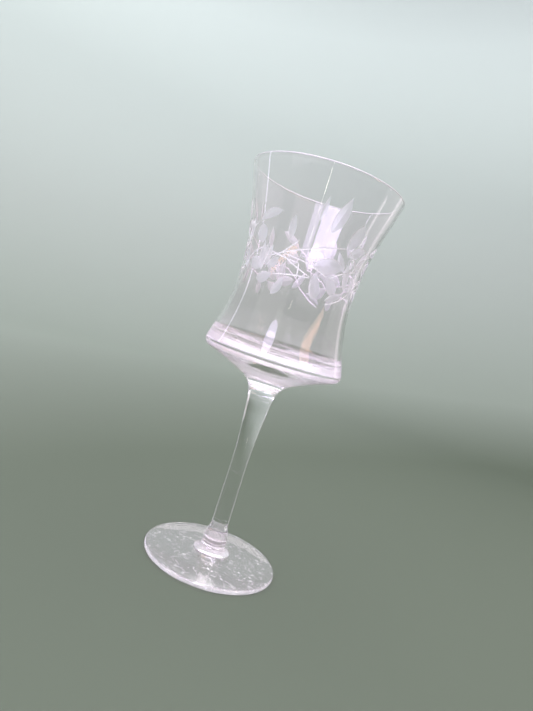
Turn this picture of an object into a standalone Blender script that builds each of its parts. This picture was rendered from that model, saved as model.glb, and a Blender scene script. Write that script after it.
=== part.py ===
"""A stemmed wine glass, modelled as the four gathers of glass that it is made from.

The glass stands on the plane z = 0 with its axis on +Z. Every gather is a turned solid.
Its outline is a list of (radius, height) points in millimetres, which starts on the axis
at the bottom, follows the surface outside and inside, and ends on the axis at the top.
"""
import math

import bmesh
import bpy

MM = 0.001

# Heights above the table, in millimetres.
GLASS_HEIGHT = 200.0
WAIST_HEIGHT = 146.0
INNER_SHOULDER_HEIGHT = 118.0
SHOULDER_HEIGHT = 111.0
FLOOR_HEIGHT = 111.2
UNDERSIDE_HEIGHT = 106.1
BOWL_JOINT_HEIGHT = 97.2
STEM_TAPER_HEIGHT = 78.5
STEM_FLARE_HEIGHT = 20.0
PAD_JOINT_HEIGHT = 12.6
COLLAR_HEIGHT = 9.3
PAD_EDGE_HEIGHT = 5.2
FOOT_TOP_HEIGHT = 4.35
FOOT_EDGE = 2.3

# Radii, in millimetres.
RIM_RADIUS = 39.1
WAIST_RADIUS = 29.3
INNER_SHOULDER_RADIUS = 31.8
SHOULDER_RADIUS = 35.6
FLOOR_RADIUS = 25.5
UNDERSIDE_RADIUS = 33.2
BOWL_JOINT_RADIUS = 12.45
STEM_TAPER_RADIUS = 5.6
STEM_RADIUS = 4.3
PAD_JOINT_RADIUS = 5.95
COLLAR_RADIUS = 6.1
PAD_RADIUS = 9.66
FOOT_RADIUS = 34.6
FOOT_SEAT_RADIUS = 10.3
FOOT_REST_RADIUS = 26.0

# Thicknesses, in millimetres.
LIP_THICKNESS = 1.0
WAIST_THICKNESS = 1.35
FOOT_RECESS = 0.7
FOOT_EDGE_ROUNDING = 0.8
PAD_EDGE_ROUNDING = 0.25
JOINT_GAP = 0.3

# Directions of the outlines, in degrees from the outward radius towards +Z.
RIM_LEAN = 76.0
UPRIGHT = 90.0
SHOULDER_LEAN = 105.0
UNDERSIDE_SLOPE = 19.5
BOWL_JOINT_SLOPE = 28.0
STEM_TAPER_LEAN = 84.0
STEM_FLARE_LEAN = 95.0
COLLAR_BULGE = 30.0
PAD_SLOPE = 150.0
FOOT_SLOPE = 175.5
FLAT_INWARD = 180.0

# Flat sides round the axis, and straight pieces along one curve of an outline.
BOWL_SIDES = 48
STEM_SIDES = 24
FOOT_SIDES = 48
CURVE_STEPS = 6
SMALL_CURVE_STEPS = 3
LIP_STEPS = 4

# Length of a curve's handles as a part of the distance between its ends.
HANDLE_LENGTH = 0.38

GLASS_COLOUR = (0.94, 0.96, 0.95, 1.0)
GLASS_ROUGHNESS = 0.02
GLASS_IOR = 1.51
SHARP_ANGLE = math.radians(40.0)


def moved(point, direction, distance):
    """A point moved in the outline's plane; the direction is in degrees."""
    angle = math.radians(direction)
    return (point[0] + distance * math.cos(angle), point[1] + distance * math.sin(angle))


def curve(start, start_direction, end, end_direction, steps=CURVE_STEPS):
    """Points after the start of a smooth curve that leaves and arrives in two directions."""
    handle = HANDLE_LENGTH * math.dist(start, end)
    corners = (start, moved(start, start_direction, handle), moved(end, end_direction, -handle), end)
    points = []
    for step in range(1, steps + 1):
        t = step / steps
        s = 1.0 - t
        weights = (s ** 3, 3.0 * s * s * t, 3.0 * s * t * t, t ** 3)
        radius = sum(weight * corner[0] for weight, corner in zip(weights, corners))
        height = sum(weight * corner[1] for weight, corner in zip(weights, corners))
        points.append((radius, height))
    return points


def half_round(centre, radius_out, radius_up, steps):
    """Points of an edge that bulges outwards from below its centre to above it."""
    points = []
    for step in range(steps + 1):
        angle = math.pi * (step / steps - 0.5)
        radius = centre[0] + radius_out * math.cos(angle)
        height = centre[1] + radius_up * math.sin(angle)
        points.append((radius, height))
    return points


def rounded_lip(outer, thickness, steps):
    """Points after the outer one of a half-round lip, over the top to the inner wall."""
    points = []
    for step in range(1, steps + 1):
        angle = math.pi * step / steps
        radius = outer[0] - thickness / 2 * (1.0 - math.cos(angle))
        height = outer[1] + thickness / 2 * math.sin(angle)
        points.append((radius, height))
    return points


def bowl_outline():
    """Solid base, rounded shoulder, waisted wall, fire-polished lip and flat inner floor."""
    joint = (BOWL_JOINT_RADIUS, BOWL_JOINT_HEIGHT + JOINT_GAP / 2)
    underside = (UNDERSIDE_RADIUS, UNDERSIDE_HEIGHT)
    shoulder = (SHOULDER_RADIUS, SHOULDER_HEIGHT)
    waist = (WAIST_RADIUS, WAIST_HEIGHT)
    rim = (RIM_RADIUS, GLASS_HEIGHT - LIP_THICKNESS / 2)
    outline = [(0.0, joint[1]), joint]
    outline += curve(joint, BOWL_JOINT_SLOPE, underside, UNDERSIDE_SLOPE)
    outline += curve(underside, UNDERSIDE_SLOPE, shoulder, SHOULDER_LEAN)
    outline += curve(shoulder, SHOULDER_LEAN, waist, UPRIGHT)
    outline += curve(waist, UPRIGHT, rim, RIM_LEAN)
    outline += rounded_lip(rim, LIP_THICKNESS, LIP_STEPS)

    inner_waist = (WAIST_RADIUS - WAIST_THICKNESS, WAIST_HEIGHT)
    inner_shoulder = (INNER_SHOULDER_RADIUS, INNER_SHOULDER_HEIGHT)
    floor_edge = (FLOOR_RADIUS, FLOOR_HEIGHT)
    outline += curve(outline[-1], RIM_LEAN - 180.0, inner_waist, -UPRIGHT)
    outline += curve(inner_waist, -UPRIGHT, inner_shoulder, SHOULDER_LEAN - 180.0)
    outline += curve(inner_shoulder, SHOULDER_LEAN - 180.0, floor_edge, FLAT_INWARD)
    outline.append((0.0, FLOOR_HEIGHT))
    return outline


def stem_outline():
    """Slender rod that flares a little onto the pad and opens like a trumpet under the bowl."""
    pad_joint = (PAD_JOINT_RADIUS, PAD_JOINT_HEIGHT + JOINT_GAP / 2)
    flare = (STEM_RADIUS, STEM_FLARE_HEIGHT)
    taper = (STEM_TAPER_RADIUS, STEM_TAPER_HEIGHT)
    bowl_joint = (BOWL_JOINT_RADIUS, BOWL_JOINT_HEIGHT - JOINT_GAP / 2)
    outline = [(0.0, pad_joint[1]), pad_joint]
    outline += curve(pad_joint, STEM_FLARE_LEAN, flare, UPRIGHT)
    outline += curve(flare, UPRIGHT, taper, STEM_TAPER_LEAN)
    outline += curve(taper, STEM_TAPER_LEAN, bowl_joint, BOWL_JOINT_SLOPE)
    outline.append((0.0, bowl_joint[1]))
    return outline


def foot_pad_outline():
    """Small concave cone with a sharp lower edge, carrying a rounded collar below the stem."""
    bottom = FOOT_TOP_HEIGHT + JOINT_GAP
    edge_top = (PAD_RADIUS, PAD_EDGE_HEIGHT)
    collar = (COLLAR_RADIUS, COLLAR_HEIGHT)
    joint = (PAD_JOINT_RADIUS, PAD_JOINT_HEIGHT - JOINT_GAP / 2)
    outline = [(0.0, bottom), (PAD_RADIUS - PAD_EDGE_ROUNDING, bottom)]
    outline += [(PAD_RADIUS, bottom + PAD_EDGE_ROUNDING), edge_top]
    outline += curve(edge_top, PAD_SLOPE, collar, UPRIGHT)
    outline += curve(collar, UPRIGHT - COLLAR_BULGE, joint, UPRIGHT + COLLAR_BULGE, SMALL_CURVE_STEPS)
    outline.append((0.0, joint[1]))
    return outline


def foot_outline():
    """Round disc with a polished edge, a gently rising top and a shallow hollow underneath."""
    edge_centre = (FOOT_RADIUS - FOOT_EDGE_ROUNDING, FOOT_EDGE / 2)
    seat = (FOOT_SEAT_RADIUS, FOOT_TOP_HEIGHT)
    outline = [(0.0, FOOT_RECESS)]
    outline += curve(outline[0], 0.0, (FOOT_REST_RADIUS, 0.0), 0.0, SMALL_CURVE_STEPS)
    outline += half_round(edge_centre, FOOT_EDGE_ROUNDING, FOOT_EDGE / 2, CURVE_STEPS)
    outline += curve(outline[-1], FOOT_SLOPE, seat, FOOT_SLOPE)
    outline.append((0.0, FOOT_TOP_HEIGHT))
    return outline


def turned_solid(name, outline, sides, material):
    """Sweep an outline in millimetres round +Z into one closed mesh object in metres."""
    mesh = bpy.data.meshes.new(name)
    body = bmesh.new()
    rings = []
    for radius, height in outline:
        if radius == 0.0:
            rings.append([body.verts.new((0.0, 0.0, height * MM))])
            continue
        ring = []
        for side in range(sides):
            angle = 2.0 * math.pi * side / sides
            place = (radius * math.cos(angle), radius * math.sin(angle), height)
            ring.append(body.verts.new([value * MM for value in place]))
        rings.append(ring)
    for lower, upper in zip(rings, rings[1:]):
        for side in range(sides):
            following = (side + 1) % sides
            corners = [lower[side % len(lower)], lower[following % len(lower)]]
            corners += [upper[following % len(upper)], upper[side % len(upper)]]
            body.faces.new(list(dict.fromkeys(corners)))
    body.to_mesh(mesh)
    body.free()
    mesh.shade_smooth()
    mesh.set_sharp_from_angle(angle=SHARP_ANGLE)
    mesh.materials.append(material)
    piece = bpy.data.objects.new(name, mesh)
    bpy.context.scene.collection.objects.link(piece)
    return piece


def glass_material(name):
    """Clear colourless glass."""
    material = bpy.data.materials.new(name)
    material.use_nodes = True
    shader = material.node_tree.nodes["Principled BSDF"]
    shader.inputs["Base Color"].default_value = GLASS_COLOUR
    shader.inputs["Metallic"].default_value = 0.0
    shader.inputs["Roughness"].default_value = GLASS_ROUGHNESS
    shader.inputs["IOR"].default_value = GLASS_IOR
    shader.inputs["Transmission Weight"].default_value = 1.0
    return material


def build():
    """Clear the scene and make the four gathers."""
    for old in list(bpy.data.objects):
        bpy.data.objects.remove(old)
    turned_solid("foot", foot_outline(), FOOT_SIDES, glass_material("foot_glass"))
    turned_solid("foot_pad", foot_pad_outline(), STEM_SIDES, glass_material("foot_pad_glass"))
    turned_solid("stem", stem_outline(), STEM_SIDES, glass_material("stem_glass"))
    turned_solid("bowl", bowl_outline(), BOWL_SIDES, glass_material("bowl_glass"))


build()
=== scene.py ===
"""The looks of the stemmed wine glass: clear gathers of glass, a cut leaf garland and a soft studio."""
import copy
import math
import random

import bmesh
import bpy
from mathutils import Matrix, Vector
from mathutils.geometry import delaunay_2d_cdt


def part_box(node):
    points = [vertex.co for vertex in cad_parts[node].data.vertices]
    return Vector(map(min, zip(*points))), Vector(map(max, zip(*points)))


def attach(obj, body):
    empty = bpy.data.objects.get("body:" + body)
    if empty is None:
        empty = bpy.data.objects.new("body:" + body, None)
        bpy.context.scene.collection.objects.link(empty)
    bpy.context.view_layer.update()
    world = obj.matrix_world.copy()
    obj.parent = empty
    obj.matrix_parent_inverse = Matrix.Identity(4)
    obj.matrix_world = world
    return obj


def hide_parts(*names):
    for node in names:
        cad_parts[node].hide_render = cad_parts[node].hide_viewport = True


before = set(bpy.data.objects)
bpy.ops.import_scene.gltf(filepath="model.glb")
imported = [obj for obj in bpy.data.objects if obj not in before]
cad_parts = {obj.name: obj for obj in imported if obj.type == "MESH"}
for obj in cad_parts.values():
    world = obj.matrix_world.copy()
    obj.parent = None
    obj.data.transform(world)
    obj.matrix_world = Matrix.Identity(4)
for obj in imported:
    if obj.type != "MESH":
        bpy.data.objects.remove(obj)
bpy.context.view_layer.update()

MM = 0.001


def cad_box(name):
    """Lowest and highest corner of a CAD node, in millimetres."""
    low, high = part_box(name)
    return [value / MM for value in low], [value / MM for value in high]


bowl_low, bowl_high = cad_box("bowl")
stem_low, stem_high = cad_box("stem")
pad_high = cad_box("foot_pad")[1]
foot_high = cad_box("foot")[1]

# Sizes that the frame gives, in millimetres. The gathers are fused, so the pieces meet halfway
# across the gaps that the CAD solids keep.
GLASS_HEIGHT = bowl_high[2]
RIM_RADIUS = bowl_high[0]
BOWL_JOINT_HEIGHT = (bowl_low[2] + stem_high[2]) / 2
BOWL_JOINT_RADIUS = stem_high[0]
PAD_JOINT_HEIGHT = (stem_low[2] + pad_high[2]) / 2
PAD_RADIUS = pad_high[0]
FOOT_TOP_HEIGHT = foot_high[2]
FOOT_RADIUS = foot_high[0]

# Heights along the outlines, in millimetres.
WAIST_HEIGHT = 146.0
INNER_SHOULDER_HEIGHT = 118.0
SHOULDER_HEIGHT = 111.0
FLOOR_HEIGHT = 111.2
UNDERSIDE_HEIGHT = 106.1
STEM_TAPER_HEIGHT = 78.5
STEM_FLARE_HEIGHT = 20.0
COLLAR_HEIGHT = 9.3
PAD_EDGE_HEIGHT = 5.2

# Radii and thicknesses, in millimetres.
WAIST_RADIUS = 29.3
INNER_SHOULDER_RADIUS = 31.8
SHOULDER_RADIUS = 35.6
FLOOR_RADIUS = 25.5
UNDERSIDE_RADIUS = 33.2
STEM_TAPER_RADIUS = 5.6
STEM_RADIUS = 4.3
PAD_JOINT_RADIUS = 5.95
COLLAR_RADIUS = 6.1
FOOT_SEAT_RADIUS = 10.3
FOOT_REST_RADIUS = 26.0
LIP_THICKNESS = 1.0
WAIST_THICKNESS = 1.35
FOOT_EDGE = 2.3
FOOT_EDGE_ROUNDING = 0.8
FOOT_RECESS = 0.7
PAD_EDGE_ROUNDING = 0.25

# Directions along the outlines, in degrees from the outward radius towards +Z.
RIM_LEAN = 76.0
UPRIGHT = 90.0
SHOULDER_LEAN = 105.0
UNDERSIDE_SLOPE = 19.5
BOWL_JOINT_SLOPE = 28.0
STEM_TAPER_LEAN = 84.0
STEM_FLARE_LEAN = 95.0
COLLAR_BULGE = 30.0
PAD_SLOPE = 150.0
FOOT_SLOPE = 175.5
FLAT_INWARD = 180.0

# The cut band. Azimuths are in degrees from the -Y side towards +X, heights and widths in millimetres.
BAND_LOW = 131.0
BAND_HIGH = 193.0
BAND_REPEATS = 3
SEAM_AZIMUTH = 60.0
UNROLLED_RADIUS = 31.0
LEAF_DEPTH = 0.32
LINE_DEPTH = 0.14
LINE_WIDTH = 0.68
LINE_BELLY = 1.0
LINE_BLUNTNESS = 0.25

# A painted highlight, a strip of the white line glass, runs along one edge of each leaf from this share of
# its half width, on the side that faces up and, by half as much, towards lower azimuths, the side that
# faces the light.
PAINTED_HIGHLIGHT_SHARE = 0.84
PAINTED_HIGHLIGHT_LEAN = 0.5

# The repeats at the back sway a little, in degrees and in millimetres, so that they aren't copies.
SWAY_SEED = 11
SWAY_AZIMUTH = 2.0
SWAY_HEIGHT = 1.0

# Mesh of the band; distances are in millimetres. Cuts are filed in buckets along the band.
CUT_STEPS = 18
GRID_CLEARANCE = 0.45
MERGE_DISTANCE = 1e-5
WELD_DISTANCE = 0.001
BUCKET = 4.0
SLOPE_STEP = 0.02
THINNEST_CUT = 1e-6
CORNER_INSET = 0.1

# Material slots. The bowl has all five, and the foot has its edge in the third.
CLEAR, JOINT, LEAF, LINE_AND_LEAF_HIGHLIGHT, LIP = range(5)
FOOT_EDGE_SLOT = 2

# Each leaf: azimuth and height of the root and of the tip, width, belly, bluntness, bend.
LEAVES = (
    (-52, 170.0, -29, 175.5, 4.4, 1.2, 0.7, 0.8),
    (-44, 160.0, -48, 168.5, 7.0, 1.2, 0.6, 0.5),
    (-41, 161.5, -43, 149.0, 3.2, 1.3, 0.7, 0.4),
    (-37, 160.5, -38, 147.5, 2.2, 1.0, 0.8, 0.0),
    (-31, 160.0, -34, 149.5, 2.8, 1.2, 0.8, -0.3),
    (-38, 149.0, -54, 152.5, 6.0, 1.0, 0.7, 0.5),
    (-26, 147.0, -40, 143.5, 5.6, 1.2, 0.6, 0.5),
    (-14, 147.0, -20, 138.0, 4.2, 1.2, 0.7, 0.4),
    (-17, 164.5, -17, 175.0, 3.4, 0.8, 0.8, 0.3),
    (-23, 155.0, -31, 149.5, 4.2, 1.1, 0.7, 0.0),
    (8, 155.5, 39, 159.5, 7.6, 0.9, 0.8, 0.4),
    (13, 152.5, 18, 141.5, 5.4, 1.4, 0.5, 0.2),
    (25, 153.0, 37, 146.0, 6.2, 1.2, 0.6, 0.3),
    (48, 147.5, 29, 142.5, 3.6, 1.0, 0.8, -0.5),
    (34, 168.0, 40, 180.5, 6.4, 0.9, 0.7, -0.6),
    (37, 165.0, 54, 170.5, 5.0, 1.1, 0.7, 0.5),
    (41, 162.0, 47, 150.0, 4.2, 1.1, 0.7, 0.3),
    (53, 160.0, 60, 171.0, 4.2, 1.0, 0.7, 0.4),
    (54, 158.0, 62, 147.0, 4.2, 1.1, 0.7, -0.4),
    (40, 157.5, 27, 165.5, 3.6, 1.0, 0.9, 0.5),
    (14, 172.0, 20, 188.5, 5.4, 0.8, 0.9, -0.4),
    (2, 175.0, 4, 186.0, 2.2, 0.9, 0.9, 0.0),
)

# Each line: azimuth and height of both ends, and bend.
LINES = (
    (-36, 154.0, 33, 168.0, 0.8),
    (-26, 155.5, -9, 165.0, -0.4),
    (-20, 157.5, 26, 152.5, 1.0),
    (-20, 157.0, 9, 150.5, -0.6),
    (-26, 147.0, 9, 150.0, 0.5),
    (-72, 157.0, -52, 170.0, 2.0),
    (-37, 158.0, -4, 155.0, -0.5),
    (26, 152.5, 54, 160.0, 1.0),
    (-62, 151.0, -38, 159.0, 1.2),
    (-4, 155.0, -2, 148.5, 0.0),
    (-38, 148.0, -32, 160.0, 0.5),
    (30, 141.0, 62, 153.0, -1.5),
    (34, 168.0, 54, 160.0, 1.0),
)

# The blown inner wall is slightly uneven. Each ripple: waves round the wall, and millimetres of
# height per radian of twist. Depth and fading at both ends are in millimetres.
RIPPLE_DEPTH = 0.07
RIPPLE_FADE = 8.0
RIPPLES = ((5, 60.0), (9, 45.0), (14, -80.0), (23, 55.0), (31, -40.0))

# Glass colours, and how much of each gather is painted an even milky white. This whiteness is painted
# light: in the solid base, the pad and the foot it stands in for the bright surroundings that the glass
# refracts, and on the foot's edge and the lip it is a painted highlight.
GLASS_IOR = 1.51
# The pinkish tint of the bowl stands in for reflections and shade seen through it, and the pad's pink for
# warm reflections: both are painted light.
BOWL_COLOUR = (0.98, 0.945, 0.965)
STEM_COLOUR = (0.94, 0.935, 0.94)
PAD_COLOUR = (1.0, 0.93, 0.97)
EDGE_COLOUR = (0.98, 0.97, 0.98)
FOOT_COLOUR = (0.97, 0.97, 0.96)
LEAF_COLOUR = (0.90, 0.90, 0.93)
LINE_AND_LEAF_HIGHLIGHT_COLOUR = (1.0, 0.98, 1.0)
BASE_PAINTED_LIGHT = 0.25
PAD_PAINTED_LIGHT = 0.11
FOOT_PAINTED_LIGHT = 0.05
EDGE_PAINTED_HIGHLIGHT = 0.2
LIP_PAINTED_HIGHLIGHT = 0.5
STEM_SHEEN = 1.0
SHEEN_ROUGHNESS = 0.3

# The painted milky white of the solid base, which stands in for the bright surroundings it refracts, fades
# out between these heights, in metres.
BASE_PAINTED_LIGHT_TOP = 0.1115
BASE_PAINTED_LIGHT_BOTTOM = 0.105

# Wear: how much of it each gather has, and how dull and how rough its marks are.
BOWL_WEAR = 0.1
STEM_WEAR = 0.1
PAD_WEAR = 0.08
FOOT_WEAR = 0.65
EDGE_WEAR = 0.1
MARK_DULLNESS = 0.75
MARK_ROUGHNESS = 0.4
BOWL_MARK_DULLNESS = 0.5
BOWL_MARK_ROUGHNESS = 0.3

# Scales of the wear patterns, in repeats per metre. A pair holds the values between which a
# pattern turns on or off.
SPECK_SCALE = 1400.0
SPECK_RADIUS = (0.16, 0.28)
SPECK_SHARE = (0.28, 0.31)
CLOUD_SCALE = 70.0
CLOUD_LEVEL = (0.38, 0.54)
CLOUD_LEAST = 0.1
WARP_SCALE = 160.0
WARP_AMOUNT = 0.012
SCRATCH_SCALE = 270.0
SCRATCH_WIDTH = (0.012, 0.032)
SCRATCH_GATE_SCALE = 240.0
SCRATCH_GATE = (0.545, 0.605)

# Ground glass: roughness and transmission of leaves and lines, and the grain that the wheel leaves. The
# line glass also makes the painted highlight along one edge of each leaf.
LEAF_ROUGHNESS = 0.34
LEAF_TRANSMISSION = 0.80
LINE_ROUGHNESS = 0.25
LINE_TRANSMISSION = 0.28
GRAIN_SCALE = 2600.0
GRAIN_STRETCH = (1.0, 1.0, 0.25)
GRAIN_LEVEL = (0.3, 0.7)
GRAIN_SMOOTHEST = 0.06
GRAIN_ROUGHEST = 0.08
GRAIN_STRENGTH = 0.2
GRAIN_HEIGHT = 0.0001

# Curves: length of the handles as a part of the distance between the ends, and straight pieces.
HANDLE_LENGTH = 0.38
WALL_STEPS = 36
CURVE_STEPS = 20
SMALL_CURVE_STEPS = 10

# Turned pieces: sides round the axis, and the angle above which an edge stays sharp.
SIDES = 192
SHARP_ANGLE = math.radians(40.0)
LEVEL_TOLERANCE = 1e-4

# The foot's edge is where its surface is steeper than this, and its joint stays inside the pad.
EDGE_STEEPNESS = 0.8
JOINT_TOLERANCE = 1e-3
JOINT_MARGIN = 0.3

LIGHT_BOUNCES = 24

# The photographer's view: a camera level with the bowl, turned and rolled a little.
CAMERA_PLACE = (0.0, -0.272, 0.1233)
CAMERA_YAW = math.radians(0.74)
CAMERA_PITCH = math.radians(-2.95)
CAMERA_ROLL = math.radians(17.8)
CAMERA_LENS = 27.04
SENSOR_WIDTH = 36.0
NEAREST_SEEN = 0.01
FARTHEST_SEEN = 20.0

# The stage is a round cove, in millimetres.
STAGE_FLOOR = -0.2
STAGE_CREASES = (100.0, 400.0)
STAGE_FLAT_RADIUS = 800.0
STAGE_RADIUS = 1500.0
STAGE_BEND_TOP = 700.0
STAGE_TOP = 1600.0
PAPER_ROUGHNESS = 0.9
PAPER_SPECULAR = 0.2

# Its paper grows paler upwards, backwards, away from the glass and towards -X; levels in metres. These
# changes are painted light: paler towards -X as if lit from the left, and darker low down near the glass
# as painted shade.
STAGE_RISE = (-0.22, 0.10, 1.0)
STAGE_FADE = 0.08
STAGE_LOW = -0.107
STAGE_HIGH = 1.393
STAGE_COLOURS = (
    (0.1, (0.104, 0.128, 0.096)),
    (0.2, (0.26, 0.298, 0.26)),
    (0.5, (0.43, 0.477, 0.447)),
    (1.0, (0.74, 0.83, 0.80)),
)

# Light.
WORLD_COLOUR = (0.99, 0.94, 0.975)
WORLD_STRENGTH = 1.1
VIOLET = (0.80, 0.68, 1.0)
PALE_VIOLET = (0.85, 0.78, 1.0)
PINK = (1.0, 0.88, 0.95)
CREAM = (1.0, 0.97, 0.85)
ORANGE = (1.0, 0.60, 0.44)
WHITE = (1.0, 1.0, 1.0)

# Each softbox: name, place, height of the point on the axis that it faces, size (all in metres),
# power in watts and colour. The dictionaries say what is special: lean is in degrees.
SOFTBOXES = (
    ("window_left", (-0.445, -0.540, 0.76), 0.76, (0.34, 0.38), 3.2, VIOLET, {}),
    ("window_middle", (-0.21, -0.68, 0.77), 0.77, (0.23, 0.38), 1.8, VIOLET, {}),
    ("window_right", (0.05, -0.70, 0.74), 0.74, (0.20, 0.40), 0.9, VIOLET, {}),
    ("low_pane", (-0.20, -0.67, 0.575), 0.575, (0.28, 0.26), 1.5, VIOLET, {"shape": "ELLIPSE"}),
    ("front_card", (0.19, -0.78, 0.72), 0.15, (1.2, 0.5), 1.3, PINK, {}),
    ("left_strip", (-0.6, 0.1, 0.33), 0.15, (0.03, 0.6), 0.27, PALE_VIOLET,
     {"unseen_by": ("transmission", "diffuse")}),
    ("low_strip", (-0.02, -0.6, 0.055), 0.15, (0.008, 0.06), 0.012, CREAM, {"unseen_by": ("diffuse",)}),
    ("back_card", (0.0, 1.2, 0.96), 0.15, (1.6, 0.3), 4.5, PINK, {"unseen_by": ("diffuse", "glossy")}),
    ("side_strip", (0.6, 0.02, 0.13), 0.15, (0.04, 0.07), 0.02, PINK, {"unseen_by": ("diffuse",)}),
    ("right_strip", (0.74, 0.52, 0.28), 0.15, (0.12, 0.40), 0.12, PINK, {}),
    ("warm_strip", (0.53, -0.50, 0.48), 0.15, (0.09, 0.70), 0.75, ORANGE, {"lean": 60.0}),
    ("left_card", (-0.45, -0.62, 0.42), 0.15, (0.8, 0.8), 0.8, PINK, {}),
    ("right_card", (0.72, 0.28, 0.42), 0.15, (0.8, 0.8), 0.8, PINK, {}),
    ("top_strip", (0.15, 0.0, 0.95), 0.15, (0.5, 0.08), 1.0, PINK, {}),
    ("overhead", (0.0, 0.0, 1.3), 0.0, (2.0, 2.0), 16.0, WHITE, {"unseen_by": ("glossy", "transmission")}),
)


def make_camera():
    """The camera at the photographer's viewing angle."""
    data = bpy.data.cameras.new("camera")
    data.lens = CAMERA_LENS
    data.sensor_width = SENSOR_WIDTH
    data.clip_start = NEAREST_SEEN
    data.clip_end = FARTHEST_SEEN
    camera = bpy.data.objects.new("camera", data)
    turn = Matrix.Rotation(CAMERA_YAW, 4, "Z")
    tilt = Matrix.Rotation(math.pi / 2 + CAMERA_PITCH, 4, "X")
    roll = Matrix.Rotation(CAMERA_ROLL, 4, "Z")
    camera.matrix_world = Matrix.Translation(CAMERA_PLACE) @ turn @ tilt @ roll
    bpy.context.scene.collection.objects.link(camera)
    bpy.context.scene.camera = camera


def moved(point, direction, distance):
    """A point moved in the outline's plane; the direction is in degrees."""
    angle = math.radians(direction)
    return (point[0] + distance * math.cos(angle), point[1] + distance * math.sin(angle))


def curve(start, start_direction, end, end_direction, steps=CURVE_STEPS):
    """Points after the start of a smooth curve that leaves and arrives in two directions."""
    handle = HANDLE_LENGTH * math.dist(start, end)
    corners = (start, moved(start, start_direction, handle), moved(end, end_direction, -handle), end)
    points = []
    for step in range(1, steps + 1):
        t = step / steps
        s = 1.0 - t
        weights = (s ** 3, 3.0 * s * s * t, 3.0 * s * t * t, t ** 3)
        radius = sum(weight * corner[0] for weight, corner in zip(weights, corners))
        height = sum(weight * corner[1] for weight, corner in zip(weights, corners))
        points.append((radius, height))
    return points


def half_round(centre, radius_out, radius_up, steps):
    """Points of an edge that bulges outwards from below its centre to above it."""
    points = []
    for step in range(steps + 1):
        angle = math.pi * (step / steps - 0.5)
        radius = centre[0] + radius_out * math.cos(angle)
        height = centre[1] + radius_up * math.sin(angle)
        points.append((radius, height))
    return points


def rounded_lip(outer, thickness, steps):
    """Points after the outer one of a half-round lip, over the top to the inner wall."""
    points = []
    for step in range(1, steps + 1):
        angle = math.pi * step / steps
        radius = outer[0] - thickness / 2 * (1.0 - math.cos(angle))
        height = outer[1] + thickness / 2 * math.sin(angle)
        points.append((radius, height))
    return points


def bowl_outline():
    """Solid base, rounded shoulder, waisted wall, fire-polished lip and flat inner floor."""
    joint = (BOWL_JOINT_RADIUS, BOWL_JOINT_HEIGHT)
    underside = (UNDERSIDE_RADIUS, UNDERSIDE_HEIGHT)
    shoulder = (SHOULDER_RADIUS, SHOULDER_HEIGHT)
    waist = (WAIST_RADIUS, WAIST_HEIGHT)
    rim = (RIM_RADIUS, GLASS_HEIGHT - LIP_THICKNESS / 2)
    outline = [(0.0, joint[1]), joint]
    outline += curve(joint, BOWL_JOINT_SLOPE, underside, UNDERSIDE_SLOPE)
    outline += curve(underside, UNDERSIDE_SLOPE, shoulder, SHOULDER_LEAN)
    outline += curve(shoulder, SHOULDER_LEAN, waist, UPRIGHT, WALL_STEPS)
    outline += curve(waist, UPRIGHT, rim, RIM_LEAN, WALL_STEPS)
    outline += rounded_lip(rim, LIP_THICKNESS, SMALL_CURVE_STEPS)

    inner_waist = (WAIST_RADIUS - WAIST_THICKNESS, WAIST_HEIGHT)
    inner_shoulder = (INNER_SHOULDER_RADIUS, INNER_SHOULDER_HEIGHT)
    floor_edge = (FLOOR_RADIUS, FLOOR_HEIGHT)
    outline += curve(outline[-1], RIM_LEAN - 180.0, inner_waist, -UPRIGHT)
    outline += curve(inner_waist, -UPRIGHT, inner_shoulder, SHOULDER_LEAN - 180.0)
    outline += curve(inner_shoulder, SHOULDER_LEAN - 180.0, floor_edge, FLAT_INWARD)
    outline.append((0.0, FLOOR_HEIGHT))
    return outline


def stem_outline():
    """Slender rod that flares a little onto the pad and opens like a trumpet under the bowl."""
    pad_joint = (PAD_JOINT_RADIUS, PAD_JOINT_HEIGHT)
    flare = (STEM_RADIUS, STEM_FLARE_HEIGHT)
    taper = (STEM_TAPER_RADIUS, STEM_TAPER_HEIGHT)
    bowl_joint = (BOWL_JOINT_RADIUS, BOWL_JOINT_HEIGHT)
    outline = [(0.0, pad_joint[1]), pad_joint]
    outline += curve(pad_joint, STEM_FLARE_LEAN, flare, UPRIGHT)
    outline += curve(flare, UPRIGHT, taper, STEM_TAPER_LEAN)
    outline += curve(taper, STEM_TAPER_LEAN, bowl_joint, BOWL_JOINT_SLOPE)
    outline.append((0.0, bowl_joint[1]))
    return outline


def foot_pad_outline():
    """Small concave cone with a sharp lower edge, carrying a rounded collar below the stem."""
    bottom = FOOT_TOP_HEIGHT
    edge_top = (PAD_RADIUS, PAD_EDGE_HEIGHT)
    collar = (COLLAR_RADIUS, COLLAR_HEIGHT)
    joint = (PAD_JOINT_RADIUS, PAD_JOINT_HEIGHT)
    outline = [(0.0, bottom), (PAD_RADIUS - PAD_EDGE_ROUNDING, bottom)]
    outline += [(PAD_RADIUS, bottom + PAD_EDGE_ROUNDING), edge_top]
    outline += curve(edge_top, PAD_SLOPE, collar, UPRIGHT)
    outline += curve(collar, UPRIGHT - COLLAR_BULGE, joint, UPRIGHT + COLLAR_BULGE, SMALL_CURVE_STEPS)
    outline.append((0.0, joint[1]))
    return outline


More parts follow.
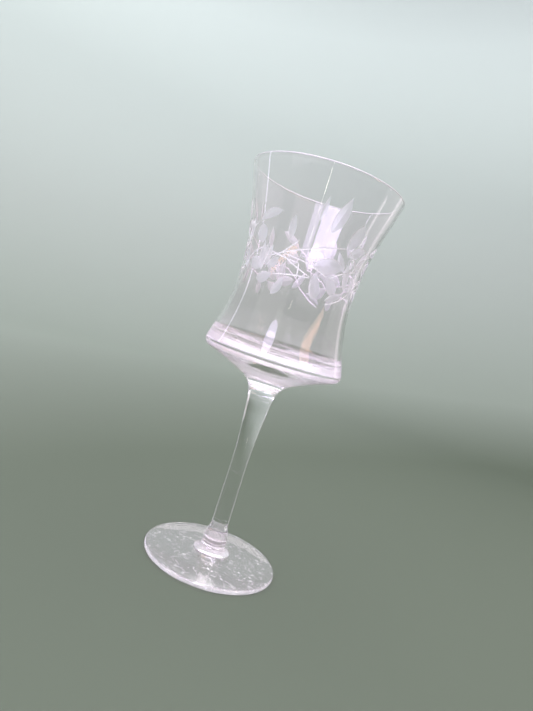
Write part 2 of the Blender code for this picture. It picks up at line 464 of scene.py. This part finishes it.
def foot_outline():
    """Round disc with a polished edge, a gently rising top and a shallow hollow underneath."""
    edge_centre = (FOOT_RADIUS - FOOT_EDGE_ROUNDING, FOOT_EDGE / 2)
    seat = (FOOT_SEAT_RADIUS, FOOT_TOP_HEIGHT)
    outline = [(0.0, FOOT_RECESS)]
    outline += curve(outline[0], 0.0, (FOOT_REST_RADIUS, 0.0), 0.0, SMALL_CURVE_STEPS)
    outline += half_round(edge_centre, FOOT_EDGE_ROUNDING, FOOT_EDGE / 2, CURVE_STEPS)
    outline += curve(outline[-1], FOOT_SLOPE, seat, FOOT_SLOPE)
    outline.append((PAD_RADIUS - PAD_EDGE_ROUNDING, FOOT_TOP_HEIGHT))
    outline.append((0.0, FOOT_TOP_HEIGHT))
    return outline


def ripple(angle, height):
    """How far the blown inner wall stands in from its true circle, in millimetres."""
    swell = sum(math.sin(waves * angle + waves * waves + height / twist) for waves, twist in RIPPLES)
    from_end = min(height - FLOOR_HEIGHT, GLASS_HEIGHT - height)
    fade = min(1.0, max(0.0, from_end / RIPPLE_FADE))
    return RIPPLE_DEPTH * fade * (1.0 + swell / len(RIPPLES)) / 2


def turned_body(outline, joint_heights, skipped=None, rippled_from=None):
    """Sweep an outline in millimetres round +Z into a bmesh body in metres.

    Flat discs at the joint heights get the joint's slot. The rows between the two skipped points
    are left open, and the points after rippled_from are on the uneven inner wall.
    """
    body = bmesh.new()
    rings = []
    for index, (radius, height) in enumerate(outline):
        if radius == 0.0:
            rings.append([body.verts.new((0.0, 0.0, height * MM))])
            continue
        ring = []
        for side in range(SIDES):
            angle = 2.0 * math.pi * side / SIDES
            here = radius
            if rippled_from is not None and index > rippled_from:
                here -= ripple(angle, height)
            place = (here * math.cos(angle), here * math.sin(angle), height)
            ring.append(body.verts.new([value * MM for value in place]))
        rings.append(ring)
    for index, (lower, upper) in enumerate(zip(rings, rings[1:])):
        if skipped and skipped[0] <= index < skipped[1]:
            continue
        for side in range(SIDES):
            following = (side + 1) % SIDES
            corners = [lower[side % len(lower)], lower[following % len(lower)]]
            corners += [upper[following % len(upper)], upper[side % len(upper)]]
            face = body.faces.new(list(dict.fromkeys(corners)))
            heights = [corner.co.z / MM for corner in face.verts]
            flat = max(heights) - min(heights) < LEVEL_TOLERANCE
            if flat and any(abs(heights[0] - joint) < LEVEL_TOLERANCE for joint in joint_heights):
                face.material_index = JOINT
    return body


def finished(name, body, materials):
    """A smooth-shaded object from a bmesh body."""
    mesh = bpy.data.meshes.new(name)
    body.to_mesh(mesh)
    body.free()
    mesh.shade_smooth()
    mesh.set_sharp_from_angle(angle=SHARP_ANGLE)
    for material in materials:
        mesh.materials.append(material)
    piece = bpy.data.objects.new(name, mesh)
    bpy.context.scene.collection.objects.link(piece)
    return piece


def turned_solid(name, outline, materials, joint_heights):
    """A whole piece swept round +Z."""
    return finished(name, turned_body(outline, joint_heights), materials)


class Cut:
    """One stroke of the cutting wheel on the unrolled band: a groove along a gently bent line."""

    def __init__(self, root, tip, depth, slot, width, belly, bluntness, bend):
        self.root = Vector(root)
        self.along = (Vector(tip) - self.root).normalized()
        self.across = Vector((-self.along.y, self.along.x))
        self.reach = (Vector(tip) - self.root).length
        self.depth = depth
        self.slot = slot
        self.width = width
        self.belly = belly
        self.bluntness = bluntness
        self.bend = bend
        # The side of each leaf that faces the light gets the painted highlight.
        self.painted_highlight_side = math.copysign(1.0, self.across.y - PAINTED_HIGHLIGHT_LEAN * self.across.x)

    def half_width(self, share):
        """Half the width at a share of the length, from 0 at the root to 1 at the tip."""
        if not 0.0 < share < 1.0:
            return 0.0
        return self.width / 2 * math.sin(math.pi * share ** self.belly) ** self.bluntness

    def bow(self, share):
        """How far the middle line stands off the straight line between its ends."""
        return self.bend * 4.0 * share * (1.0 - share)

    def point(self, share, side):
        """A point of the band; the side runs from -1 to 1 across the groove."""
        offset = self.bow(share) + side * self.half_width(share)
        return self.root + self.along * (share * self.reach) + self.across * offset

    def side_at(self, point):
        """How far across the groove a point lies, from -1 to 1, and half the width there."""
        away = point - self.root
        share = away.dot(self.along) / self.reach
        half = self.half_width(share)
        if half < THINNEST_CUT:
            return 1.0, 0.0
        return (away.dot(self.across) - self.bow(share)) / half, half

    def depth_at(self, point):
        """Depth at a point of the band: nothing at the edges and most on the middle line."""
        side, half = self.side_at(point)
        return self.depth * max(0.0, 1.0 - abs(side)) * 2.0 * half / self.width

    def slot_at(self, point):
        """Material slot at a point of the band; one edge of a leaf gets the white line glass as a painted
        highlight.
        """
        side = self.side_at(point)[0]
        if abs(side) >= 1.0:
            return CLEAR
        if side * self.painted_highlight_side > PAINTED_HIGHLIGHT_SHARE:
            return LINE_AND_LEAF_HIGHLIGHT
        return self.slot

    def shifted(self, distance):
        """The same cut moved round the band."""
        other = copy.copy(self)
        other.root = self.root + Vector((distance, 0.0))
        return other


def unrolled(azimuth, height):
    """A point of the band in millimetres, measured along the wall from the seam."""
    return (math.radians(azimuth - SEAM_AZIMUTH) * UNROLLED_RADIUS, height)


def garland():
    """Every cut, and the copies of them that reach over the seam."""
    draw = random.Random(SWAY_SEED)
    girth = 2.0 * math.pi * UNROLLED_RADIUS
    cuts = []
    for repeat in range(BAND_REPEATS):
        turn = 360.0 / BAND_REPEATS * repeat
        sway = min(repeat, 1)
        for root_azimuth, root_height, tip_azimuth, tip_height, *shape in LEAVES:
            root = unrolled(root_azimuth + turn, root_height)
            tip_azimuth += sway * draw.uniform(-SWAY_AZIMUTH, SWAY_AZIMUTH)
            tip_height += sway * draw.uniform(-SWAY_HEIGHT, SWAY_HEIGHT)
            tip = unrolled(tip_azimuth + turn, tip_height)
            cuts.append(Cut(root, tip, LEAF_DEPTH, LEAF, *shape))
        for start_azimuth, start_height, end_azimuth, end_height, bend in LINES:
            start = unrolled(start_azimuth + turn, start_height)
            end = unrolled(end_azimuth + turn, end_height)
            cuts.append(Cut(start, end, LINE_DEPTH, LINE_AND_LEAF_HIGHLIGHT, LINE_WIDTH, LINE_BELLY, LINE_BLUNTNESS, bend))
    copies = []
    for cut in cuts:
        for shift in (-girth, 0.0, girth):
            other = cut.shifted(shift)
            middle = other.point(0.5, 0.0).x
            if -cut.reach < middle < girth + cut.reach:
                copies.append(other)
    return copies


def angle_on_glass(point):
    """Angle round the glass of a point of the band, from +X."""
    return point.x / UNROLLED_RADIUS + math.radians(SEAM_AZIMUTH - 90.0)


class Band:
    """The outer wall between two heights, with the garland cut into it."""

    def __init__(self, wall):
        self.wall = wall
        self.cuts = garland()
        self.girth = 2.0 * math.pi * UNROLLED_RADIUS
        self.buckets = {}
        for cut in self.cuts:
            middle = cut.point(0.5, 0.0).x
            spread = cut.reach / 2 + cut.width
            first = math.floor((middle - spread) / BUCKET)
            last = math.ceil((middle + spread) / BUCKET)
            for bucket in range(first, last + 1):
                self.buckets.setdefault(bucket, []).append(cut)

    def cuts_near(self, point):
        """The cuts that may reach a point of the band."""
        return self.buckets.get(math.floor(point.x / BUCKET), [])

    def depth_at(self, point):
        """Depth of the deepest cut at a point of the band."""
        return max((cut.depth_at(point) for cut in self.cuts_near(point)), default=0.0)

    def slot_at(self, point):
        """Material slot at a point of the band; lines lie over leaves."""
        slots = [cut.slot_at(point) for cut in self.cuts_near(point)]
        return max(slots, default=CLEAR)

    def radius_and_slope(self, height):
        """Radius of the uncut wall at a height, and how fast it grows with height."""
        for lower, upper in zip(self.wall, self.wall[1:]):
            if height <= upper[1]:
                break
        slope = (upper[0] - lower[0]) / (upper[1] - lower[1])
        return lower[0] + slope * (height - lower[1]), slope

    def place(self, point):
        """Where a point of the band lies on the glass, in metres."""
        radius = self.radius_and_slope(point.y)[0] - self.depth_at(point)
        angle = angle_on_glass(point)
        return (radius * math.cos(angle) * MM, radius * math.sin(angle) * MM, point.y * MM)

    def normal(self, point, cut):
        """Direction of the surface at a point of the band, on a cut or on the plain wall."""
        radius, slope = self.radius_and_slope(point.y)
        sideways = 0.0
        if cut:
            here = self.depth_at(point)
            above = self.depth_at(point + Vector((0.0, SLOPE_STEP)))
            beside = self.depth_at(point + Vector((SLOPE_STEP, 0.0)))
            slope -= (above - here) / SLOPE_STEP
            sideways -= (beside - here) / SLOPE_STEP * UNROLLED_RADIUS / radius
        angle = angle_on_glass(point)
        outward = Vector((math.cos(angle), math.sin(angle), 0.0))
        around = Vector((-math.sin(angle), math.cos(angle), 0.0))
        return (outward - around * sideways - Vector((0.0, 0.0, slope))).normalized()

    def triangles(self):
        """Flat points of the band and the triangles between them, which follow every cut."""
        points = []
        edges = []

        def add_line(line, closed=False):
            first = len(points)
            points.extend(line)
            for index in range(len(line) - (not closed)):
                edges.append((first + index, first + (index + 1) % len(line)))

        for cut in self.cuts:
            shares = [(1.0 - math.cos(math.pi * step / CUT_STEPS)) / 2 for step in range(CUT_STEPS + 1)]
            outline = [cut.point(share, 1.0) for share in shares]
            outline += [cut.point(share, -1.0) for share in reversed(shares[1:-1])]
            add_line(outline, closed=True)
            add_line([cut.point(share, 0.0) for share in shares[1:-1]])
            # Each leaf also gets the border of its painted highlight.
            if cut.slot == LEAF:
                add_line([cut.point(share, cut.painted_highlight_side * PAINTED_HIGHLIGHT_SHARE) for share in shares[1:-1]])
        cells = {}
        for point in points:
            cells.setdefault((round(point.x), round(point.y)), []).append(point)
        rows = [height for _, height in self.wall]
        for column in range(1, SIDES):
            for row in rows:
                spot = Vector((self.girth * column / SIDES, row))
                cell = (round(spot.x), round(spot.y))
                crowd = [point for across in (-1, 0, 1) for up in (-1, 0, 1)
                         for point in cells.get((cell[0] + across, cell[1] + up), [])]
                if all((point - spot).length > GRID_CLEARANCE for point in crowd):
                    points.append(spot)
        for seam in (0.0, self.girth):
            add_line([Vector((seam, row)) for row in rows])
        flat, _, faces, _, _, _ = delaunay_2d_cdt(points, edges, [], 0, MERGE_DISTANCE, False)
        inside = []
        for face in faces:
            middle = sum((flat[index] for index in face), Vector((0.0, 0.0))) / len(face)
            if 0.0 < middle.x < self.girth and rows[0] < middle.y < rows[-1]:
                inside.append((face, middle))
        return flat, inside


def bowl_solid(name, materials):
    """The turned bowl, with the garland cut into its outer wall."""
    outline = bowl_outline()
    top = max(range(len(outline)), key=lambda index: outline[index][1])
    rows = [index for index in range(top) if BAND_LOW < outline[index][1] < BAND_HIGH]
    band = Band([outline[index] for index in rows])
    body = turned_body(outline, [BOWL_JOINT_HEIGHT], (rows[0], rows[-1]), top)
    cut_layer = body.faces.layers.int.new("cut_band")
    flat, faces = band.triangles()
    verts = {}
    for face, middle in faces:
        for index in face:
            if index not in verts:
                verts[index] = body.verts.new(band.place(flat[index]))
        made = body.faces.new([verts[index] for index in face])
        made.material_index = band.slot_at(middle)
        made[cut_layer] = 1
    bmesh.ops.remove_doubles(body, verts=body.verts, dist=WELD_DISTANCE * MM)
    piece = finished(name, body, materials)
    mesh = piece.data
    # The lip's faces get the half milky glass, a painted highlight along the rim.
    for polygon in mesh.polygons:
        if polygon.center.z / MM > GLASS_HEIGHT - LIP_THICKNESS / 2:
            polygon.material_index = LIP
    on_band = [item.value for item in mesh.attributes["cut_band"].data]
    normals = [(0.0, 0.0, 0.0)] * len(mesh.loops)
    for polygon in mesh.polygons:
        if not on_band[polygon.index]:
            continue
        corners = [band_point(mesh.vertices[index].co) for index in polygon.vertices]
        middle = band_point(polygon.center)
        for loop, corner in zip(polygon.loop_indices, corners):
            if corner.x - middle.x > band.girth / 2:
                corner.x -= band.girth
            elif middle.x - corner.x > band.girth / 2:
                corner.x += band.girth
            inner = corner.lerp(middle, CORNER_INSET)
            normals[loop] = band.normal(inner, polygon.material_index != CLEAR)
    mesh.normals_split_custom_set(normals)
    return piece


def band_point(place):
    """The point of the unrolled band under a place on the glass, in metres."""
    azimuth = math.degrees(math.atan2(place.y, place.x)) + 90.0
    return Vector(unrolled((azimuth - SEAM_AZIMUTH) % 360.0 + SEAM_AZIMUTH, place.z / MM))


def new_material(name, colour, roughness, transmission):
    """A Principled glass and its node tree."""
    material = bpy.data.materials.new(name)
    material.use_nodes = True
    shader = material.node_tree.nodes["Principled BSDF"]
    shader.inputs["Base Color"].default_value = (*colour, 1.0)
    shader.inputs["Roughness"].default_value = roughness
    shader.inputs["IOR"].default_value = GLASS_IOR
    shader.inputs["Transmission Weight"].default_value = transmission
    return material, material.node_tree, shader


def node(tree, kind, settings=(), **inputs):
    """A shader node; inputs are values, or output sockets that feed them."""
    made = tree.nodes.new(kind)
    for name, value in dict(settings).items():
        setattr(made, name, value)
    for name, value in inputs.items():
        socket = made.inputs[int(name[1:])] if name[0] == "_" else made.inputs[name.replace("_", " ")]
        if isinstance(value, bpy.types.NodeSocket):
            tree.links.new(value, socket)
        else:
            socket.default_value = value
    return made


def between(tree, value, low, high, to_low, to_high):
    """A smooth change from one value to another while an input goes from low to high."""
    return node(tree, "ShaderNodeMapRange", {"interpolation_type": "SMOOTHSTEP"}, Value=value,
                From_Min=low, From_Max=high, To_Min=to_low, To_Max=to_high).outputs["Result"]


def product(tree, first, second):
    """Two values multiplied."""
    return node(tree, "ShaderNodeMath", {"operation": "MULTIPLY"}, _0=first, _1=second).outputs[0]


def most(tree, first, second):
    """The greater of two values."""
    return node(tree, "ShaderNodeMath", {"operation": "MAXIMUM"}, _0=first, _1=second).outputs[0]


def less(tree, first, second):
    """The first value less the second."""
    return node(tree, "ShaderNodeMath", {"operation": "SUBTRACT"}, _0=first, _1=second).outputs[0]


def specks(tree, place):
    """Small round specks, thicker in some clouds than in others, from 0 to 1."""
    dots = node(tree, "ShaderNodeTexVoronoi", Vector=place, Scale=SPECK_SCALE)
    round_dots = between(tree, dots.outputs["Distance"], *SPECK_RADIUS, 1.0, 0.0)
    chosen = node(tree, "ShaderNodeSeparateColor", _0=dots.outputs["Color"]).outputs[0]
    few_dots = product(tree, round_dots, between(tree, chosen, *SPECK_SHARE, 1.0, 0.0))
    cloud = node(tree, "ShaderNodeTexNoise", Vector=place, Scale=CLOUD_SCALE, Detail=2.0).outputs["Fac"]
    return product(tree, few_dots, between(tree, cloud, *CLOUD_LEVEL, CLOUD_LEAST, 1.0))


def scratches(tree, place):
    """Short curled scratches, from 0 to 1: bent cell walls, most of them switched off."""
    bent = node(tree, "ShaderNodeTexNoise", Vector=place, Scale=WARP_SCALE, Detail=1.0).outputs["Color"]
    warped = node(tree, "ShaderNodeMix", {"data_type": "VECTOR"}, _0=WARP_AMOUNT, _4=place, _5=bent)
    web = node(tree, "ShaderNodeTexVoronoi", {"feature": "DISTANCE_TO_EDGE"},
               Vector=warped.outputs[1], Scale=SCRATCH_SCALE)
    thin_lines = between(tree, web.outputs["Distance"], *SCRATCH_WIDTH, 1.0, 0.0)
    gate = node(tree, "ShaderNodeTexNoise", Vector=place, Scale=SCRATCH_GATE_SCALE, Detail=1.0)
    return product(tree, thin_lines, between(tree, gate.outputs["Fac"], *SCRATCH_GATE, 0.0, 1.0))


def wear(tree, amount):
    """Specks and scratches from use, from 0 to the amount."""
    place = node(tree, "ShaderNodeTexCoord").outputs["Object"]
    return product(tree, most(tree, specks(tree, place), scratches(tree, place)), amount)


def worn_glass(name, colour, painted_whiteness, wear_amount):
    """Clear glass with an even painted whiteness that stands in for light, fine specks and short curled
    scratches.
    """
    material, tree, shader = new_material(name, colour, 0.0, 1.0)
    marks = wear(tree, wear_amount)
    dull = most(tree, product(tree, marks, MARK_DULLNESS), painted_whiteness)
    tree.links.new(less(tree, 1.0, dull), shader.inputs["Transmission Weight"])
    tree.links.new(between(tree, marks, 0.0, 1.0, 0.0, MARK_ROUGHNESS), shader.inputs["Roughness"])
    return material


def stem_glass(name):
    """Worn glass with the sheen that makes both outlines of the rod bright."""
    material = worn_glass(name, STEM_COLOUR, 0.0, STEM_WEAR)
    shader = material.node_tree.nodes["Principled BSDF"]
    shader.inputs["Sheen Weight"].default_value = STEM_SHEEN
    shader.inputs["Sheen Roughness"].default_value = SHEEN_ROUGHNESS
    return material


def bowl_glass(name):
    """Worn clear glass with painted light in the solid base: a milky white that stands in for the bright
    surroundings it refracts.
    """
    material, tree, shader = new_material(name, BOWL_COLOUR, 0.0, 1.0)
    place = node(tree, "ShaderNodeNewGeometry").outputs["Position"]
    height = node(tree, "ShaderNodeSeparateXYZ", _0=place).outputs["Z"]
    # Painted light: the solid base turns milky white, as a stand-in for the bright surroundings it
    # refracts.
    base_clearness = between(tree, height, BASE_PAINTED_LIGHT_BOTTOM, BASE_PAINTED_LIGHT_TOP, 1.0 - BASE_PAINTED_LIGHT, 1.0)
    marks = wear(tree, BOWL_WEAR)
    clear = less(tree, base_clearness, product(tree, marks, BOWL_MARK_DULLNESS))
    tree.links.new(clear, shader.inputs["Transmission Weight"])
    tree.links.new(between(tree, marks, 0.0, 1.0, 0.0, BOWL_MARK_ROUGHNESS), shader.inputs["Roughness"])
    return material


def frosted(name, roughness, transmission, colour):
    """Ground glass with the fine grain that the wheel leaves."""
    material, tree, shader = new_material(name, colour, roughness, transmission)
    place = node(tree, "ShaderNodeTexCoord").outputs["Object"]
    drawn = node(tree, "ShaderNodeMapping", Vector=place, Scale=GRAIN_STRETCH).outputs[0]
    grain = node(tree, "ShaderNodeTexNoise", Vector=drawn, Scale=GRAIN_SCALE, Detail=2.0).outputs["Fac"]
    grained = between(tree, grain, *GRAIN_LEVEL, roughness - GRAIN_SMOOTHEST, roughness + GRAIN_ROUGHEST)
    tree.links.new(grained, shader.inputs["Roughness"])
    bump = node(tree, "ShaderNodeBump", Strength=GRAIN_STRENGTH, Distance=GRAIN_HEIGHT, Height=grain)
    tree.links.new(bump.outputs[0], shader.inputs["Normal"])
    return material


def fused_joint(name):
    """The glass inside a fused joint, which bends no light."""
    material = bpy.data.materials.new(name)
    material.use_nodes = True
    tree = material.node_tree
    tree.nodes.clear()
    output = tree.nodes.new("ShaderNodeOutputMaterial")
    through = tree.nodes.new("ShaderNodeBsdfTransparent")
    tree.links.new(through.outputs[0], output.inputs["Surface"])
    return material


def area_light(name, place, aim_height, size, power, colour, shape="RECTANGLE", lean=0.0, unseen_by=()):
    """A softbox that faces a point on the axis, leans over sideways and is hidden from the camera."""
    data = bpy.data.lights.new(name, "AREA")
    data.shape = shape
    data.size = size[0]
    data.size_y = size[1]
    data.energy = power
    data.color = colour
    lamp = bpy.data.objects.new(name, data)
    facing = (Vector((0.0, 0.0, aim_height)) - Vector(place)).to_track_quat("-Z", "Y")
    lamp.location = place
    lamp.rotation_euler = (facing.to_matrix() @ Matrix.Rotation(math.radians(lean), 3, "Z")).to_euler()
    for rays in ("camera", *unseen_by):
        setattr(lamp, "visible_" + rays, False)
    bpy.context.scene.collection.objects.link(lamp)


def stage_paper(name):
    """Matt paper with painted light: sage near the glass and low down as painted shade, and paler farther
    off, higher up and towards -X as if lit from the left.
    """
    material = bpy.data.materials.new(name)
    material.use_nodes = True
    tree = material.node_tree
    shader = tree.nodes["Principled BSDF"]
    shader.inputs["Roughness"].default_value = PAPER_ROUGHNESS
    shader.inputs["Specular IOR Level"].default_value = PAPER_SPECULAR
    place = node(tree, "ShaderNodeNewGeometry").outputs["Position"]
    rise = node(tree, "ShaderNodeVectorMath", {"operation": "DOT_PRODUCT"}, _0=place, _1=STAGE_RISE)
    distance = node(tree, "ShaderNodeVectorMath", {"operation": "LENGTH"}, _0=place)
    level = node(tree, "ShaderNodeMath", {"operation": "MULTIPLY_ADD"}, _0=distance.outputs["Value"],
                 _1=STAGE_FADE, _2=rise.outputs["Value"]).outputs[0]
    share = node(tree, "ShaderNodeMapRange", Value=level, From_Min=STAGE_LOW, From_Max=STAGE_HIGH)
    ramp = node(tree, "ShaderNodeValToRGB", Fac=share.outputs["Result"])
    stops = ramp.color_ramp.elements
    for position, _ in STAGE_COLOURS[1:-1]:
        stops.new(position)
    for stop, (position, colour) in zip(stops, STAGE_COLOURS):
        stop.position = position
        stop.color = (*colour, 1.0)
    tree.links.new(ramp.outputs["Color"], shader.inputs["Base Color"])
    return material


def make_stage():
    """A seamless round cove under and round the glass."""
    outline = [(0.0, STAGE_FLOOR)]
    outline += [(radius, STAGE_FLOOR) for radius in (*STAGE_CREASES, STAGE_FLAT_RADIUS)]
    outline += curve(outline[-1], 0.0, (STAGE_RADIUS, STAGE_BEND_TOP), UPRIGHT)
    outline.append((STAGE_RADIUS, STAGE_TOP))
    turned_solid("stage", outline, [stage_paper("stage_paper")], [])


def make_light():
    """A pale world and the softboxes."""
    world = bpy.data.worlds.new("world")
    world.use_nodes = True
    background = world.node_tree.nodes["Background"]
    background.inputs["Color"].default_value = (*WORLD_COLOUR, 1.0)
    background.inputs["Strength"].default_value = WORLD_STRENGTH
    bpy.context.scene.world = world
    for name, place, aim_height, size, power, colour, special in SOFTBOXES:
        area_light(name, place, aim_height, size, power, colour, **special)


def foot_solid(name, materials):
    """The turned foot, with its rounded edge, painted white as a highlight, and the joint under the pad in
    slots of their own.
    """
    piece = turned_solid(name, foot_outline(), materials, [])
    for face in piece.data.polygons:
        radius = face.center.xy.length / MM
        level_with_top = abs(face.center.z / MM - FOOT_TOP_HEIGHT) < JOINT_TOLERANCE
        if abs(face.normal.z) < EDGE_STEEPNESS and radius > FOOT_RADIUS - FOOT_EDGE_ROUNDING:
            face.material_index = FOOT_EDGE_SLOT
        elif level_with_top and radius < PAD_RADIUS - JOINT_MARGIN:
            face.material_index = JOINT
    return piece


def make_glass():
    """The four gathers of glass, each in the place of its CAD node."""
    joint = fused_joint("fused_joint")
    leaf = frosted("cut_leaf", LEAF_ROUGHNESS, LEAF_TRANSMISSION, LEAF_COLOUR)
    # The line glass also paints the highlight along one edge of each leaf.
    line = frosted("cut_line_and_leaf_highlight", LINE_ROUGHNESS, LINE_TRANSMISSION, LINE_AND_LEAF_HIGHLIGHT_COLOUR)
    # The foot's edge and the lip are painted milky white as highlights.
    edge = worn_glass("painted_highlight_edge", EDGE_COLOUR, EDGE_PAINTED_HIGHLIGHT, EDGE_WEAR)
    lip = worn_glass("painted_highlight_lip", EDGE_COLOUR, LIP_PAINTED_HIGHLIGHT, EDGE_WEAR)
    bowl = bowl_solid("bowl_glass", [bowl_glass("clear_bowl"), joint, leaf, line, lip])
    stem_clear = stem_glass("clear_stem")
    # The pad and the foot get an even milky white, painted light that stands in for the bright
    # surroundings they refract.
    pad_clear = worn_glass("clear_pad", PAD_COLOUR, PAD_PAINTED_LIGHT, PAD_WEAR)
    foot_clear = worn_glass("clear_foot", FOOT_COLOUR, FOOT_PAINTED_LIGHT, FOOT_WEAR)
    stem_joints = [PAD_JOINT_HEIGHT, BOWL_JOINT_HEIGHT]
    stem = turned_solid("stem_glass", stem_outline(), [stem_clear, joint], stem_joints)
    pad_joints = [FOOT_TOP_HEIGHT, PAD_JOINT_HEIGHT]
    pad = turned_solid("foot_pad_glass", foot_pad_outline(), [pad_clear, joint], pad_joints)
    foot = foot_solid("foot_glass", [foot_clear, joint, edge])
    for piece, cad_node in ((bowl, "bowl"), (stem, "stem"), (pad, "foot_pad"), (foot, "foot")):
        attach(piece, "root")
        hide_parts(cad_node)
        piece.visible_shadow = False


def main():
    """Build everything."""
    make_camera()
    make_glass()
    make_stage()
    make_light()
    scene = bpy.context.scene
    scene.view_settings.view_transform = "Standard"
    scene.cycles.max_bounces = LIGHT_BOUNCES
    scene.cycles.transmission_bounces = LIGHT_BOUNCES
    scene.cycles.glossy_bounces = LIGHT_BOUNCES
    scene.cycles.transparent_max_bounces = LIGHT_BOUNCES


main()
